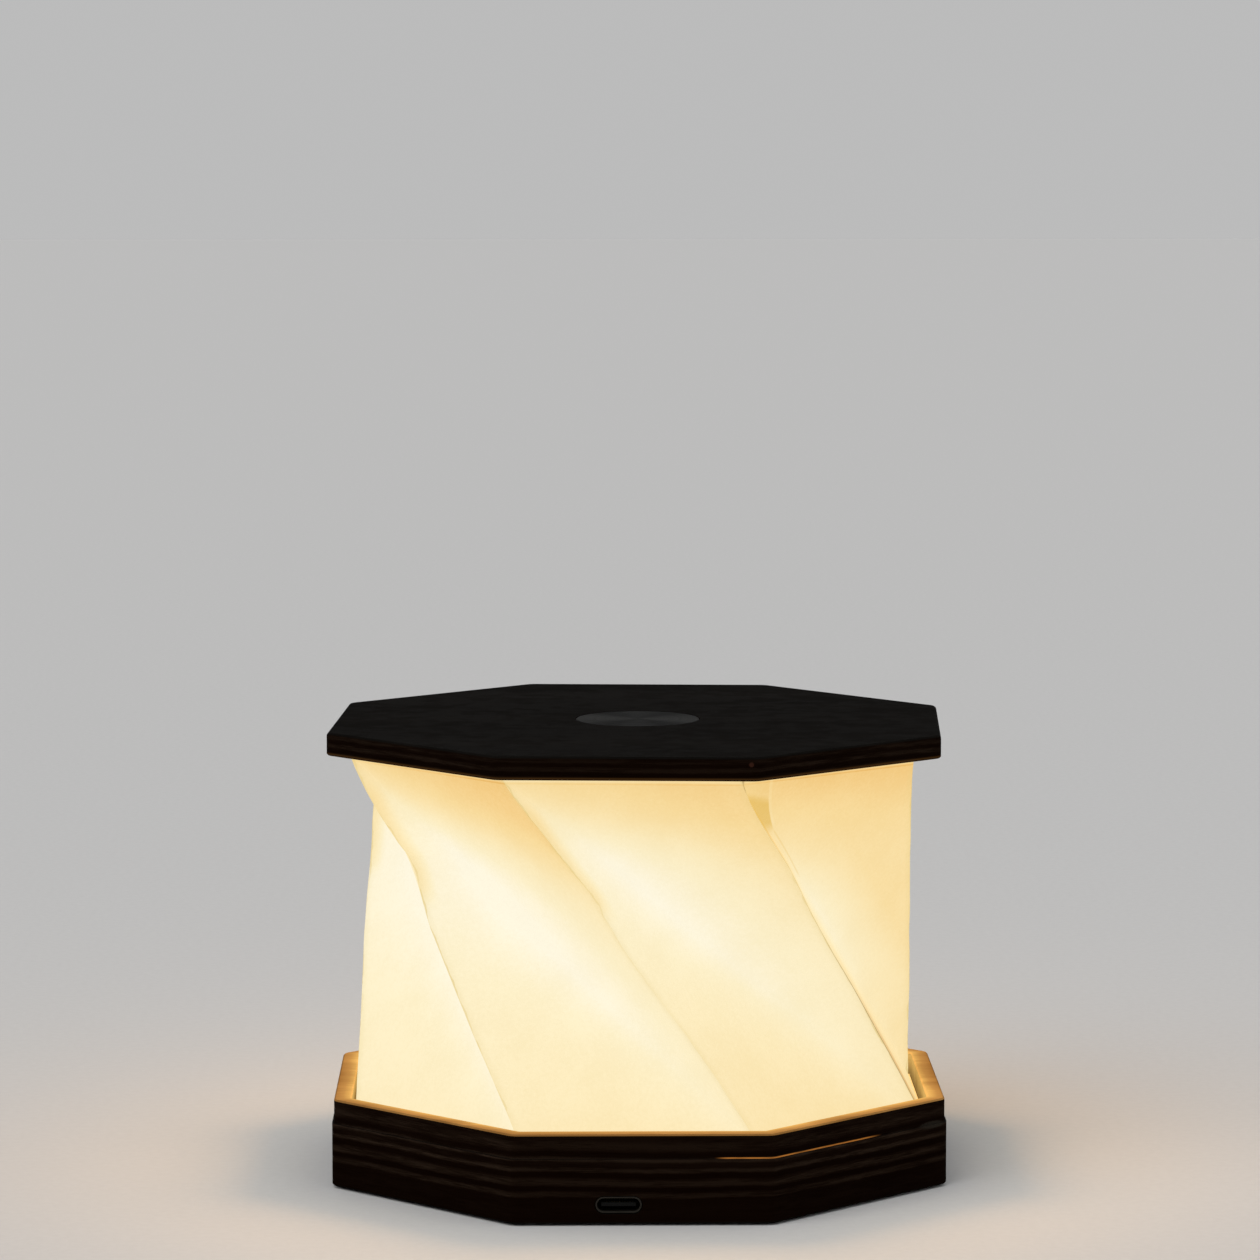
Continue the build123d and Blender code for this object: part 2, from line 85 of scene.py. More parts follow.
# The ply's layers: shares of the height, and how pale the wood is there, from scorched at 0
BASE_EDGE = (
    (0.0, 0.04), (0.19, 0.1), (0.25, 0.06), (0.3, 0.06), (0.322, 0.55), (0.35, 0.55),
    (0.38, 0.02), (0.42, 0.02), (0.45, 0.62), (0.485, 0.62), (0.53, 0.03), (0.575, 0.05),
    (0.6, 0.8), (0.615, 0.8), (0.64, 0.15), (0.69, 0.2), (0.712, 1.0), (0.726, 1.0),
    (0.75, 0.1), (0.79, 0.05), (0.84, 0.5), (0.88, 0.55), (0.93, 0.25), (1.0, 0.3),
)
PLATE_EDGE = (
    (0.0, 0.35), (0.12, 0.3), (0.2, 0.05), (0.34, 0.08), (0.42, 0.5), (0.52, 0.45),
    (0.6, 0.1), (0.7, 0.12), (0.78, 0.42), (0.86, 0.3), (0.95, 0.05), (1.0, 0.05),
)
# Painted lamp light on the rim's upper face, from its outer edge to its inner edge
RIM_LAMP_GLOW = (
    (0.0, (0.2, 0.09, 0.018)), (0.55, (0.36, 0.19, 0.046)),
    (0.85, (0.56, 0.33, 0.08)), (1.0, (0.68, 0.41, 0.11)),
)

# The paper: its sizes in metres, the turn of its upper edge when open in degrees, the height of its
# waist as a share, how finely a side is cut, and how often its valley is smoothed
LOWER_RADIUS = 0.0616
UPPER_RADIUS = 0.0607
OPEN_TWIST = 4.1
PAPER_WALL = 0.00025
WAIST = 0.0006
WAIST_HEIGHT = 0.7
PANEL_CUTS = 31
SOFTENING = 14

# A side's width, and how far its far corners lie from its valley, in millimetres
SIDE_WIDTH = 43.0
VALLEY_REACH = 33.6

# How bright the paper is at shares of the height. The seam's side has its own curves
VALLEY_TONE = (
    (0.0, 0.74), (0.12, 0.79), (0.3, 0.9), (0.5, 0.98), (0.65, 1.0),
    (0.75, 0.99), (0.82, 0.87), (0.88, 0.72), (0.94, 0.57), (1.0, 0.36),
)
SEAM_VALLEY_TONE = (
    (0.0, 0.7), (0.12, 0.64), (0.3, 0.76), (0.4, 0.88), (0.55, 0.96),
    (0.65, 0.9), (0.72, 0.68), (0.8, 0.48), (0.9, 0.34), (1.0, 0.24),
)
FAR_TONE = (
    (0.0, 0.6), (0.3, 0.66), (0.5, 0.67), (0.65, 0.58),
    (0.75, 0.44), (0.82, 0.34), (0.9, 0.27), (1.0, 0.2),
)
SEAM_FAR_TONE = (
    (0.0, 0.62), (0.3, 0.6), (0.42, 0.55), (0.55, 0.52),
    (0.7, 0.48), (0.8, 0.37), (0.9, 0.26), (1.0, 0.08),
)
LOW_TONE = (
    (0.0, 0.53), (0.12, 0.58), (0.3, 0.62), (0.5, 0.72), (0.7, 0.75), (0.85, 0.75), (1.0, 0.5),
)
SEAM_LOW_TONE = (
    (0.0, 0.5), (0.3, 0.52), (0.5, 0.58), (0.62, 0.58),
    (0.7, 0.44), (0.8, 0.32), (0.9, 0.16), (1.0, 0.12),
)
PAPER_GLOW = (
    (0.0, (0.765, 0.43, 0.105)), (0.1, (0.825, 0.53, 0.18)), (0.3, (0.86, 0.635, 0.28)),
    (0.5, (0.875, 0.7, 0.375)), (0.65, (0.88, 0.745, 0.45)), (0.8, (0.885, 0.785, 0.525)),
    (1.0, (0.9, 0.845, 0.68)),
)

# How far a ridge bends aside, in millimetres, at shares of the height
KINKED = (
    (0, 0), (0.07, 0.8), (0.3, 0.8), (0.45, 1.5), (0.57, 2.1), (0.63, 3.3), (0.7, 5.3),
    (0.745, 6.5), (0.78, 4.4), (0.84, 2.0), (0.89, 0.4), (0.96, -0.6), (1, 0),
)
WAVY = (
    (0, 0), (0.2, 0.9), (0.32, 0.9), (0.38, 0.5), (0.54, 0.4), (0.61, 0.8), (0.705, 1.8),
    (0.73, 1.1), (0.79, 0.8), (0.89, 0.2), (0.95, -0.3), (1, 0),
)
STEADY = (
    (0, 0), (0.2, 0.1), (0.5, -0.2), (0.64, 0), (0.7, 0.4), (0.75, 0.4),
    (0.8, -0.1), (0.87, -0.6), (0.93, -0.8), (0.97, -0.4), (1, 0),
)
RIDGE_BENDS = (KINKED, WAVY, STEADY, STEADY, WAVY, STEADY, WAVY, STEADY)

# The case screws' cross recesses: how far their middles lie from the axis, and half their length,
# in millimetres
CROSS_REACH = 60.89
CROSS_SIZE = 1.5

# The tongue's contacts, in metres: how many in a row, their spacing, and each strip's size
CONTACT_COUNT = 12
CONTACT_PITCH = 0.0005
CONTACT_SIZE = (0.00026, 0.0028, 0.00006)
CONTACT_IN = 0.0021
CONTACT_LIFT = 0.00036


def photograph_camera():
    data = bpy.data.cameras.new("camera")
    data.lens = CAMERA_LENS
    data.sensor_width = 36.0
    data.clip_start = 0.01
    data.clip_end = 50.0
    camera = bpy.data.objects.new("camera", data)
    camera.location = CAMERA_PLACE
    camera.rotation_euler = (math.radians(90 - CAMERA_DOWN), 0, math.radians(-CAMERA_RIGHT))
    bpy.context.scene.collection.objects.link(camera)
    bpy.context.scene.camera = camera


photograph_camera()
bpy.context.scene.view_settings.view_transform = "Standard"


# Node building
def new_node(tree, kind, **settings):
    """A node of a kind, with its settings."""
    node = tree.nodes.new(kind)
    for name, value in settings.items():
        setattr(node, name, value)
    return node


def feed(tree, socket, value):
    """A socket fed by another socket, or set to a plain value."""
    if isinstance(value, bpy.types.NodeSocket):
        tree.links.new(value, socket)
    else:
        socket.default_value = value


def maths(tree, operation, first, second=0.0, third=0.0):
    node = new_node(tree, "ShaderNodeMath", operation=operation)
    for socket, value in zip(node.inputs, (first, second, third)):
        feed(tree, socket, value)
    return node.outputs[0]


def plus(tree, first, second):
    return maths(tree, "ADD", first, second)


def less(tree, first, second):
    return maths(tree, "SUBTRACT", first, second)


def times(tree, first, second):
    return maths(tree, "MULTIPLY", first, second)


def times_plus(tree, value, factor, base):
    return maths(tree, "MULTIPLY_ADD", value, factor, base)


def most(tree, first, second):
    return maths(tree, "MAXIMUM", first, second)


def least(tree, first, second):
    return maths(tree, "MINIMUM", first, second)


def size_of(tree, value):
    return maths(tree, "ABSOLUTE", value)


def apart(tree, first, second):
    """The distance between two values."""
    return size_of(tree, less(tree, first, second))


def blend(tree, first, second, factor):
    """Two values mixed by a factor."""
    return times_plus(tree, less(tree, second, first), factor, first)


def span(tree, value, low, high, to_low=0.0, to_high=1.0, smooth=True):
    """A value between two limits, brought to 0 and 1 or to other limits."""
    node = new_node(tree, "ShaderNodeMapRange")
    node.interpolation_type = "SMOOTHSTEP" if smooth else "LINEAR"
    for name, setting in (
        ("Value", value),
        ("From Min", low),
        ("From Max", high),
        ("To Min", to_low),
        ("To Max", to_high),
    ):
        feed(tree, node.inputs[name], setting)
    return node.outputs[0]


def opaque(colour):
    """A plain colour with its alpha. A socket stays as it is."""
    return (*colour, 1.0) if isinstance(colour, tuple) else colour


def tint(tree, factor, first, second):
    """Two colours mixed by a factor."""
    node = new_node(tree, "ShaderNodeMix", data_type="RGBA")
    feed(tree, node.inputs["Factor"], factor)
    feed(tree, node.inputs["A"], opaque(first))
    feed(tree, node.inputs["B"], opaque(second))
    return node.outputs["Result"]


def steps(tree, factor, stops, way="LINEAR"):
    """A colour ramp. A stop is a place and a colour."""
    node = new_node(tree, "ShaderNodeValToRGB")
    ramp = node.color_ramp
    ramp.interpolation = way
    while len(ramp.elements) < len(stops):
        ramp.elements.new(1.0)
    for element, (place, shade) in zip(ramp.elements, stops):
        element.position = place
        element.color = opaque(shade)
    feed(tree, node.inputs["Fac"], factor)
    return node.outputs["Color"]


def curve(tree, value, stops):
    """A smooth curve through places and their greys."""
    return steps(tree, value, [(place, (grey, grey, grey)) for place, grey in stops], "B_SPLINE")


def object_place(tree, factors=(1, 1, 1), turn=0.0):
    """Object coordinates in millimetres, stretched and turned."""
    place = new_node(tree, "ShaderNodeTexCoord").outputs["Object"]
    node = new_node(tree, "ShaderNodeMapping")
    node.inputs["Scale"].default_value = [1000 * f for f in factors]
    node.inputs["Rotation"].default_value = (0, 0, turn)
    tree.links.new(place, node.inputs["Vector"])
    return node.outputs["Vector"]


def split(tree, vector):
    node = new_node(tree, "ShaderNodeSeparateXYZ")
    tree.links.new(vector, node.inputs[0])
    return node.outputs


def from_axis(tree, x, y):
    """The distance from the lamp's axis."""
    return maths(tree, "SQRT", plus(tree, times(tree, x, x), times(tree, y, y)))


def across_octagon(tree, x, y):
    """The distance from the lamp's axis to the octagonal line that a place lies on."""
    x, y = size_of(tree, x), size_of(tree, y)
    return most(tree, most(tree, x, y), times(tree, plus(tree, x, y), SLANT))


def clouds(tree, vector, scale, detail=3.0, roughness=0.55):
    node = new_node(tree, "ShaderNodeTexNoise")
    feed(tree, node.inputs["Scale"], scale)
    feed(tree, node.inputs["Detail"], detail)
    feed(tree, node.inputs["Roughness"], roughness)
    tree.links.new(vector, node.inputs["Vector"])
    return node.outputs["Fac"]


def start_group(name, outputs, inputs=()):
    """An empty node group with its sockets."""
    tree = bpy.data.node_groups.new(name, "ShaderNodeTree")
    for label, value in inputs:
        socket = tree.interface.new_socket(label, in_out="INPUT", socket_type="NodeSocketFloat")
        socket.default_value = value
    for label in outputs:
        tree.interface.new_socket(label, in_out="OUTPUT", socket_type="NodeSocketFloat")
    entry = tree.nodes.new("NodeGroupInput").outputs
    end = tree.nodes.new("NodeGroupOutput").inputs
    return tree, entry, end


def use(tree, group, **settings):
    """A group placed in a material, with its inputs set."""
    node = new_node(tree, "ShaderNodeGroup", node_tree=group)
    for name, value in settings.items():
        feed(tree, node.inputs[name], value)
    return node.outputs


def start_material(name, roughness=0.5, metallic=0.0, specular=0.5):
    material = bpy.data.materials.new(name)
    material.use_nodes = True
    tree = material.node_tree
    shader = tree.nodes["Principled BSDF"]
    shader.inputs["Roughness"].default_value = roughness
    shader.inputs["Metallic"].default_value = metallic
    shader.inputs["Specular IOR Level"].default_value = specular
    return material, tree, shader.inputs


def glow_with(tree, sockets, colour, strength=1.0):
    """Light that a material gives off."""
    feed(tree, sockets["Emission Color"], colour)
    sockets["Emission Strength"].default_value = strength


def raise_by(tree, sockets, height, distance, strength=1.0):
    """A bump from a height, with its depth in metres."""
    node = new_node(tree, "ShaderNodeBump")
    node.inputs["Strength"].default_value = strength
    node.inputs["Distance"].default_value = distance
    tree.links.new(height, node.inputs["Height"])
    tree.links.new(node.outputs["Normal"], sockets["Normal"])


# Shared effects
def veneer_grain():
    """Fine dark pores and slow bands that run along X."""
    tree, entry, end = start_group(
        "veneer_grain", ("Tone", "Pores"), (("Coarse", 1.0), ("Fine", 1.0))
    )
    bands = clouds(tree, object_place(tree, (0.004, 0.09, 0.09)), entry["Coarse"], 4.0, 0.6)
    pores = clouds(tree, object_place(tree, (0.16, 2.6, 2.6)), entry["Fine"], 2.0, 0.7)
    tone = plus(tree, times(tree, bands, 0.65), times(tree, pores, 0.35))
    feed(tree, end["Tone"], span(tree, tone, 0.36, 0.66))
    feed(tree, end["Pores"], span(tree, pores, 0.56, 0.68))
    return tree


def ply_level():
    """Height over the floor in millimetres, a little wavy along the edge, with the streaks of cut
    end grain, and which way the wood's faces look."""
    tree, entry, end = start_group(
        "ply_level",
        ("Level", "Streaks", "Side", "Front", "Top", "Inner"),
        (("Sway", 1.7), ("Ripple", 0.35)),
    )
    place = split(tree, object_place(tree))
    sway = clouds(tree, object_place(tree, (0.03, 0.03, 0.02)), 1.0, 5.0, 0.55)
    ripple = clouds(tree, object_place(tree, (0.5, 0.5, 0.3)), 1.0, 2.0, 0.6)
    level = plus(tree, place["Z"], times(tree, less(tree, sway, 0.5), entry["Sway"]))
    level = plus(tree, level, times(tree, less(tree, ripple, 0.5), entry["Ripple"]))
    feed(tree, end["Level"], level)
    short = clouds(tree, object_place(tree, (0.22, 0.22, 5.0)), 1.0, 3.0, 0.6)
    patches = clouds(tree, object_place(tree, (0.07, 0.07, 0.6)), 1.0, 2.0, 0.6)
    streaks = plus(tree, times(tree, short, 0.55), times(tree, patches, 0.45))
    feed(tree, end["Streaks"], span(tree, streaks, 0.36, 0.62))
    normal = split(tree, new_node(tree, "ShaderNodeTexCoord").outputs["Normal"])
    outwards = plus(
        tree, times(tree, place["X"], normal["X"]), times(tree, place["Y"], normal["Y"])
    )
    feed(tree, end["Side"], span(tree, size_of(tree, normal["Z"]), 0.75, 0.35))
    feed(tree, end["Front"], span(tree, normal["Y"], -0.8, -0.97))
    feed(tree, end["Top"], span(tree, normal["Z"], 0.45, 0.85))
    feed(tree, end["Inner"], span(tree, outwards, 0.0, -20.0))
    return tree


def speckle():
    """Fine even mottling for moulded, coated and printed surfaces."""
    tree, entry, end = start_group(
        "speckle", ("Tone", "Height"), (("Coarse", 0.55), ("Fine", 6.0))
    )
    mottle = clouds(tree, object_place(tree), entry["Coarse"], 4.0, 0.6)
    feed(tree, end["Tone"], span(tree, mottle, 0.3, 0.7))
    feed(tree, end["Height"], clouds(tree, object_place(tree), entry["Fine"], 2.0, 0.6))
    return tree


def turned_rings_and_sheen():
    """Fine rings round the axis, and soft lobes along X of painted sheen, as a turned face shows in
    its reflection.
    """
    tree, _, end = start_group("turned_rings_and_sheen", ("Tone", "Height", "SheenLobes"))
    x, y, _ = split(tree, object_place(tree))
    line = new_node(tree, "ShaderNodeCombineXYZ")
    tree.links.new(from_axis(tree, x, y), line.inputs["X"])
    fine = clouds(tree, line.outputs[0], 9.0, 3.0, 0.8)
    coarse = clouds(tree, line.outputs[0], 1.3, 2.0, 0.6)
    angle = maths(tree, "ARCTAN2", y, x)
    sheen_lobes = maths(tree, "COSINE", times(tree, angle, 2.0))
    feed(tree, end["Tone"], span(tree, plus(tree, fine, times(tree, coarse, 0.5)), 0.45, 1.05))
    feed(tree, end["Height"], fine)
    feed(tree, end["SheenLobes"], span(tree, sheen_lobes, -0.9, 1.0))
    return tree


def fold_light():
    """How bright the lit paper is by its place on a folded side, with its creases and overlaps.

    The panel map counts the sides along X and gives the share of the height along Y.
    """
    tree, _, end = start_group("fold_light", ("Tone", "Crease", "Tab", "FootShade", "Line", "Fibre"))
    panel = split(tree, new_node(tree, "ShaderNodeUVMap", uv_map="panel").outputs[0])
    across, up = panel["X"], panel["Y"]
    place = object_place(tree)
    cloud = less(tree, clouds(tree, place, 0.09, 4.0, 0.6), 0.5)
    fibre = less(tree, clouds(tree, place, 1.4, 4.0, 0.7), 0.5)
    side = maths(tree, "FLOOR", across)
    share = maths(tree, "FRACT", across)
    seam = maths(tree, "COMPARE", side, 2.0, 0.1)
    left = maths(tree, "COMPARE", side, 0.0, 0.1)

    def both(usual, at_seam):
        """A curve over the height, with another one on the side that has the glued seam."""
        return blend(tree, curve(tree, up, usual), curve(tree, up, at_seam), seam)

    # Below the valley this is above 0. The valley lies where the share is 1 less the height
    below = less(tree, less(tree, 1.0, up), share)
    away = less(tree, maths(tree, "SQRT", times_plus(tree, below, below, 0.0006)), 0.02)
    valley = both(VALLEY_TONE, SEAM_VALLEY_TONE)
    far = less(tree, both(FAR_TONE, SEAM_FAR_TONE), times(tree, left, 0.11))
    low = both(LOW_TONE, SEAM_LOW_TONE)
    fall = least(tree, maths(tree, "DIVIDE", away, blend(tree, 0.8, 0.4, seam)), 1.0)
    fall = maths(tree, "POWER", fall, span(tree, up, 0.78, 0.93, 1.0, 0.5))
    above_fold = blend(tree, valley, far, fall)
    fade = maths(tree, "POWER", math.e, times(tree, away, -4.6))
    below_fold = blend(tree, low, valley, fade)
    tone = blend(tree, above_fold, below_fold, span(tree, below, -0.02, 0.02))
    # Darker towards the right, except near the top, with the paper's clouds and fibres
    slope = times(tree, split(tree, place)["X"], span(tree, up, 0.85, 0.6, 0.0, -0.0024))
    tone = plus(tree, tone, slope)
    tone = times_plus(tree, cloud, 0.11, tone)
    tone = times_plus(tree, fibre, 0.08, tone)
    # Painted shade: the paper turns dark close beside the upper half of a ridge
    half = times(tree, span(tree, up, 0.6, 0.68), span(tree, up, 0.96, 0.88))
    beside = times(tree, span(tree, share, 0.095, 0.015), half)
    tone = times_plus(tree, beside, -0.28, tone)
    # Folded edge under the plate
    tone = plus(tree, tone, span(tree, up, 0.988, 0.992, 0.0, 0.16))
    tone = less(tree, tone, span(tree, apart(tree, up, 0.985), 0.003, 0.001, 0.0, 0.1))

    # Ridge: a thin line that wanders a little, firmer in some stretches
    ridge = maths(tree, "FLOOR", plus(tree, across, 0.5))
    second = maths(tree, "COMPARE", ridge, 1.0, 0.1)
    third = maths(tree, "COMPARE", ridge, 2.0, 0.1)
    wander = less(tree, clouds(tree, place, 0.22, 2.0, 0.6), 0.5)
    aside = times(tree, less(tree, across, ridge), SIDE_WIDTH)
    drawn = size_of(tree, times_plus(tree, wander, 1.8, aside))
    line = span(tree, drawn, 0.38, 0.1)
    strength = blend(tree, 0.85, span(tree, up, 0.6, 0.7, 0.35, 0.75), second)
    strength = blend(tree, strength, span(tree, up, 0.8, 0.4, 0.5, 1.0), third)
    stretches = span(tree, clouds(tree, place, 0.12, 1.0), 0.35, 0.6, 0.5, 1.0)
    strength = times(tree, strength, stretches)
    halo = span(tree, size_of(tree, aside), 1.8, 0.0, 0.0, 0.2)

    # Overlap where the two ends of the strip are glued, right of the third ridge
    edge = span(tree, share, 0.164, 0.156)
    top = times_plus(tree, share, -0.17, 0.966)
    wedge = times(tree, edge, span(tree, less(tree, top, up), -0.015, 0.025))
    wedge = times(tree, wedge, span(tree, up, 0.83, 0.87))
    wedge = most(tree, wedge, times(tree, edge, span(tree, up, 0.93, 0.96, 0.0, 0.22)))
    strip = times(tree, span(tree, share, 0.16, 0.166), span(tree, share, 0.182, 0.172))
    strip = times(tree, times(tree, strip, span(tree, up, 0.84, 0.87)), seam)
    tone = times_plus(tree, strip, 0.07, tone)
    folded = times(
        tree,
        span(tree, size_of(tree, below), 0.014, 0.004),
        span(tree, apart(tree, up, 0.77), 0.09, 0.06),
    )
    tab = most(tree, wedge, times(tree, folded, 0.4))
    # Painted shade low on the seam's side beside the third ridge, and a thin painted shadow just
    # beside that ridge
    foot_shade = times(tree, span(tree, up, 0.48, 0.14, 0.0, 0.85), span(tree, share, 0.42, 0.04))
    thin = times(tree, span(tree, apart(tree, aside, 0.25), 0.52, 0.2), third)
    ends = most(tree, span(tree, up, 0.68, 0.3), span(tree, up, 0.955, 0.975, 0.0, 0.7))

    feed(tree, end["Tone"], tone)
    feed(tree, end["Crease"], most(tree, times(tree, line, strength), halo))
    feed(tree, end["Tab"], times(tree, tab, seam))
    feed(tree, end["FootShade"], times(tree, foot_shade, seam))
    feed(tree, end["Line"], times(tree, thin, ends))
    feed(tree, end["Fibre"], times_plus(tree, cloud, 0.8, fibre))
    return tree


def screw_cross():
    """A cross recess on each of the four case screws, towards every other corner."""
    tree, _, end = start_group("screw_cross", ("Cross",))
    x, y, _ = split(tree, object_place(tree, turn=math.radians(-22.5)))
    x, y = size_of(tree, x), size_of(tree, y)
    out = apart(tree, most(tree, x, y), CROSS_REACH)
    aside = least(tree, x, y)
    thin = span(tree, least(tree, out, aside), CROSS_SIZE * 0.3, CROSS_SIZE * 0.2)
    long = span(tree, most(tree, out, aside), CROSS_SIZE * 1.05, CROSS_SIZE * 0.95)
    feed(tree, end["Cross"], times(tree, thin, long))
    return tree


GRAIN = veneer_grain()
LEVEL = ply_level()
SPECKLE = speckle()
RINGS_AND_SHEEN = turned_rings_and_sheen()
FOLDS = fold_light()
CROSS = screw_cross()


# Wood
def plywood(name, layers, edge_stops, face, spill, wear_and_highlight):
    """Plywood with its layers on the cut edges, veneer on the faces, the lamp's light where it
    spills, and one lighter spot: a worn chip on the plate, and ragged wood with a painted highlight
    at the base's corner."""
    material, tree, sockets = start_material(name, 0.75, 0.0, 0.004)
    grain = use(tree, GRAIN, Coarse=1.0, Fine=1.0)
    cut = use(tree, LEVEL, Sway=1.7, Ripple=0.35)
    stops = [
        (place, tuple(Vector(SCORCHED).lerp(Vector(PALE_PLY), value))) for place, value in edge_stops
    ]
    edge = steps(tree, span(tree, cut["Level"], *layers, smooth=False), stops)
    # The cut edges turn darker in scorched streaks, and darker on the front faces as painted shade
    scorch_and_front_shade = most(tree, times(tree, cut["Streaks"], 0.8), times(tree, cut["Front"], 0.45))
    edge = tint(tree, scorch_and_front_shade, edge, BURNT_AND_SHADED)
    veneer = tint(tree, grain["Tone"], *face)
    veneer = tint(tree, times(tree, grain["Pores"], 0.6), veneer, PORE)
    colour = tint(tree, cut["Side"], veneer, edge)

    # The lighter spot: a worn chip on the plate, and ragged wood with a painted highlight on the base
    # and rim
    spot, reach, flat, bare_and_lit = wear_and_highlight
    away = new_node(tree, "ShaderNodeVectorMath", operation="DISTANCE")
    tree.links.new(object_place(tree, (1, 1, flat)), away.inputs[0])
    away.inputs[1].default_value = (spot[0], spot[1], spot[2] * flat)
    ragged = plus(tree, away.outputs["Value"], times(tree, grain["Pores"], reach * 0.5))
    colour = tint(tree, span(tree, ragged, reach, reach * 0.5), colour, bare_and_lit)
    feed(tree, sockets["Base Color"], colour)

    rough = plus(tree, cut["Streaks"], grain["Pores"])
    feed(tree, sockets["Roughness"], span(tree, rough, 0.2, 1.4, 0.68, 0.85))
    glow_with(tree, sockets, spill(tree, split(tree, object_place(tree)), cut))
    relief = less(
        tree, times(tree, cut["Streaks"], cut["Side"]), times(tree, grain["Pores"], 0.25)
    )
    raise_by(tree, sockets, relief, 0.00006, 0.4)
    return material


def rim_glow(tree, place, cut):
    """Lamp light on the rim's upper face and inner wall, and through the open seam below it at the
    right."""
    x, y, z = place
    grain = use(tree, GRAIN, Coarse=1.0, Fine=1.0)
    top = times(tree, cut["Top"], span(tree, z, *RIM_FACE))
    near = span(tree, across_octagon(tree, x, y), *RIM_BAND, smooth=False)
    near = times_plus(tree, less(tree, grain["Tone"], 0.5), 0.35, near)
    lamp_glow = steps(tree, near, RIM_LAMP_GLOW)
    inner = times(tree, cut["Inner"], span(tree, z, *RIM_WALL, 0.45, 1.0))
    angle = maths(tree, "ARCTAN2", y, x)
    along = times(tree, span(tree, angle, *SEAM_START), span(tree, angle, *SEAM_END))
    gap = span(tree, apart(tree, z, SEAM_LEVEL), 0.26, 0.1)
    outside = less(tree, cut["Side"], cut["Inner"])
    leak = times(tree, times(tree, along, gap), outside)
    leak = times(tree, leak, span(tree, cut["Streaks"], 0.0, 0.8, 0.45, 1.0))
    lit = tint(tree, most(tree, top, inner), BLACK, lamp_glow)
    return tint(tree, leak, lit, (0.38, 0.14, 0.026))


def plate_glow(tree, place, cut):
    """Lamp light that catches the plate's lowest edge and its underside."""
    x, y, z = place
    low = times(tree, span(tree, z, *PLATE_LOW_EDGE), cut["Side"])
    reached = span(tree, from_axis(tree, x, y), *PLATE_LIT_REACH, 0.25, 1.0)
    under = times(tree, span(tree, z, *PLATE_UNDERSIDE), reached)
    amount = most(tree, times(tree, low, 0.075), times(tree, under, 0.16))
    return tint(tree, amount, BLACK, (0.8, 0.34, 0.07))


def deck_glow(tree, place, cut):
    """Lamp light on the deck in the narrow gap round the shade."""
    x, y, z = place
    lit = times(tree, cut["Top"], span(tree, z, *DECK_FACE))
    lit = times(tree, lit, span(tree, across_octagon(tree, x, y), *DECK_GAP))
    return tint(tree, times(tree, lit, 0.2), BLACK, (0.85, 0.42, 0.1))


# Paper
def lit_paper():
    material, tree, sockets = start_material("lit_paper", 0.85, 0.0, 0.2)
    fold = use(tree, FOLDS)
    glow = steps(tree, fold["Tone"], PAPER_GLOW)
    glow = tint(tree, times(tree, fold["Crease"], 0.75), glow, (0.66, 0.5, 0.17))
    glow = tint(tree, times(tree, fold["Tab"], 0.7), glow, (0.7, 0.43, 0.06))
    # Painted shade low on the seam's side, then a thin painted shadow beside the third ridge
    glow = tint(tree, fold["FootShade"], glow, (0.66, 0.385, 0.125))
    glow = tint(tree, times(tree, fold["Line"], 0.85), glow, (0.27, 0.16, 0.035))
    glow_with(tree, sockets, glow)
    fibres = span(tree, fold["Fibre"], -0.2, 0.2)
    feed(tree, sockets["Base Color"], tint(tree, fibres, (0.1, 0.088, 0.064), (0.13, 0.117, 0.09)))
    raise_by(tree, sockets, fold["Fibre"], 0.0002, 0.5)
    return material


paper = lit_paper()
shade_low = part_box("shade")[0].z
shade_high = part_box("shade")[1].z


def bend_at(bends, up):
    """How far the ridge has bent aside at a share of the height, in metres."""
    for (low, first), (high, second) in zip(bends, bends[1:]):
        if up <= high:
            return 0.001 * (first + (second - first) * (up - low) / (high - low))
    return 0.0


def octagon_corners(bm, radius, level, turn):
    """Eight corners in order round the axis, the first at the left of the front."""
    place = Matrix.Translation((0, 0, level)) @ Matrix.Rotation(math.radians(22.5) + turn, 4, "Z")
    made = bmesh.ops.create_circle(bm, segments=8, radius=radius, matrix=place)["verts"]
    return sorted(made, key=lambda v: math.atan2(v.co.y, v.co.x))


def folded_sides(bm, panel):
    """Eight sides, each a lower and an upper triangle, with their places in the panel map."""
    low = octagon_corners(bm, LOWER_RADIUS, shade_low, 0.0)
    high = octagon_corners(bm, UPPER_RADIUS, shade_high, -math.radians(OPEN_TWIST))
    for i in range(8):
        top_here, top_next = high[i], high[(i + 1) % 8]
        ridge_foot, valley_foot = low[(i + 1) % 8], low[(i + 2) % 8]
        lower_panel = bm.faces.new((top_here, ridge_foot, valley_foot))
        upper_panel = bm.faces.new((top_here, valley_foot, top_next))
        for loop, spot in zip(lower_panel.loops, ((i, 1), (i, 0), (i + 1, 0))):
            loop[panel].uv = spot
        for loop, spot in zip(upper_panel.loops, ((i, 1), (i + 1, 0), (i + 1, 1))):
            loop[panel].uv = spot
    bmesh.ops.subdivide_edges(bm, edges=bm.edges[:], cuts=PANEL_CUTS, use_grid_fill=True)


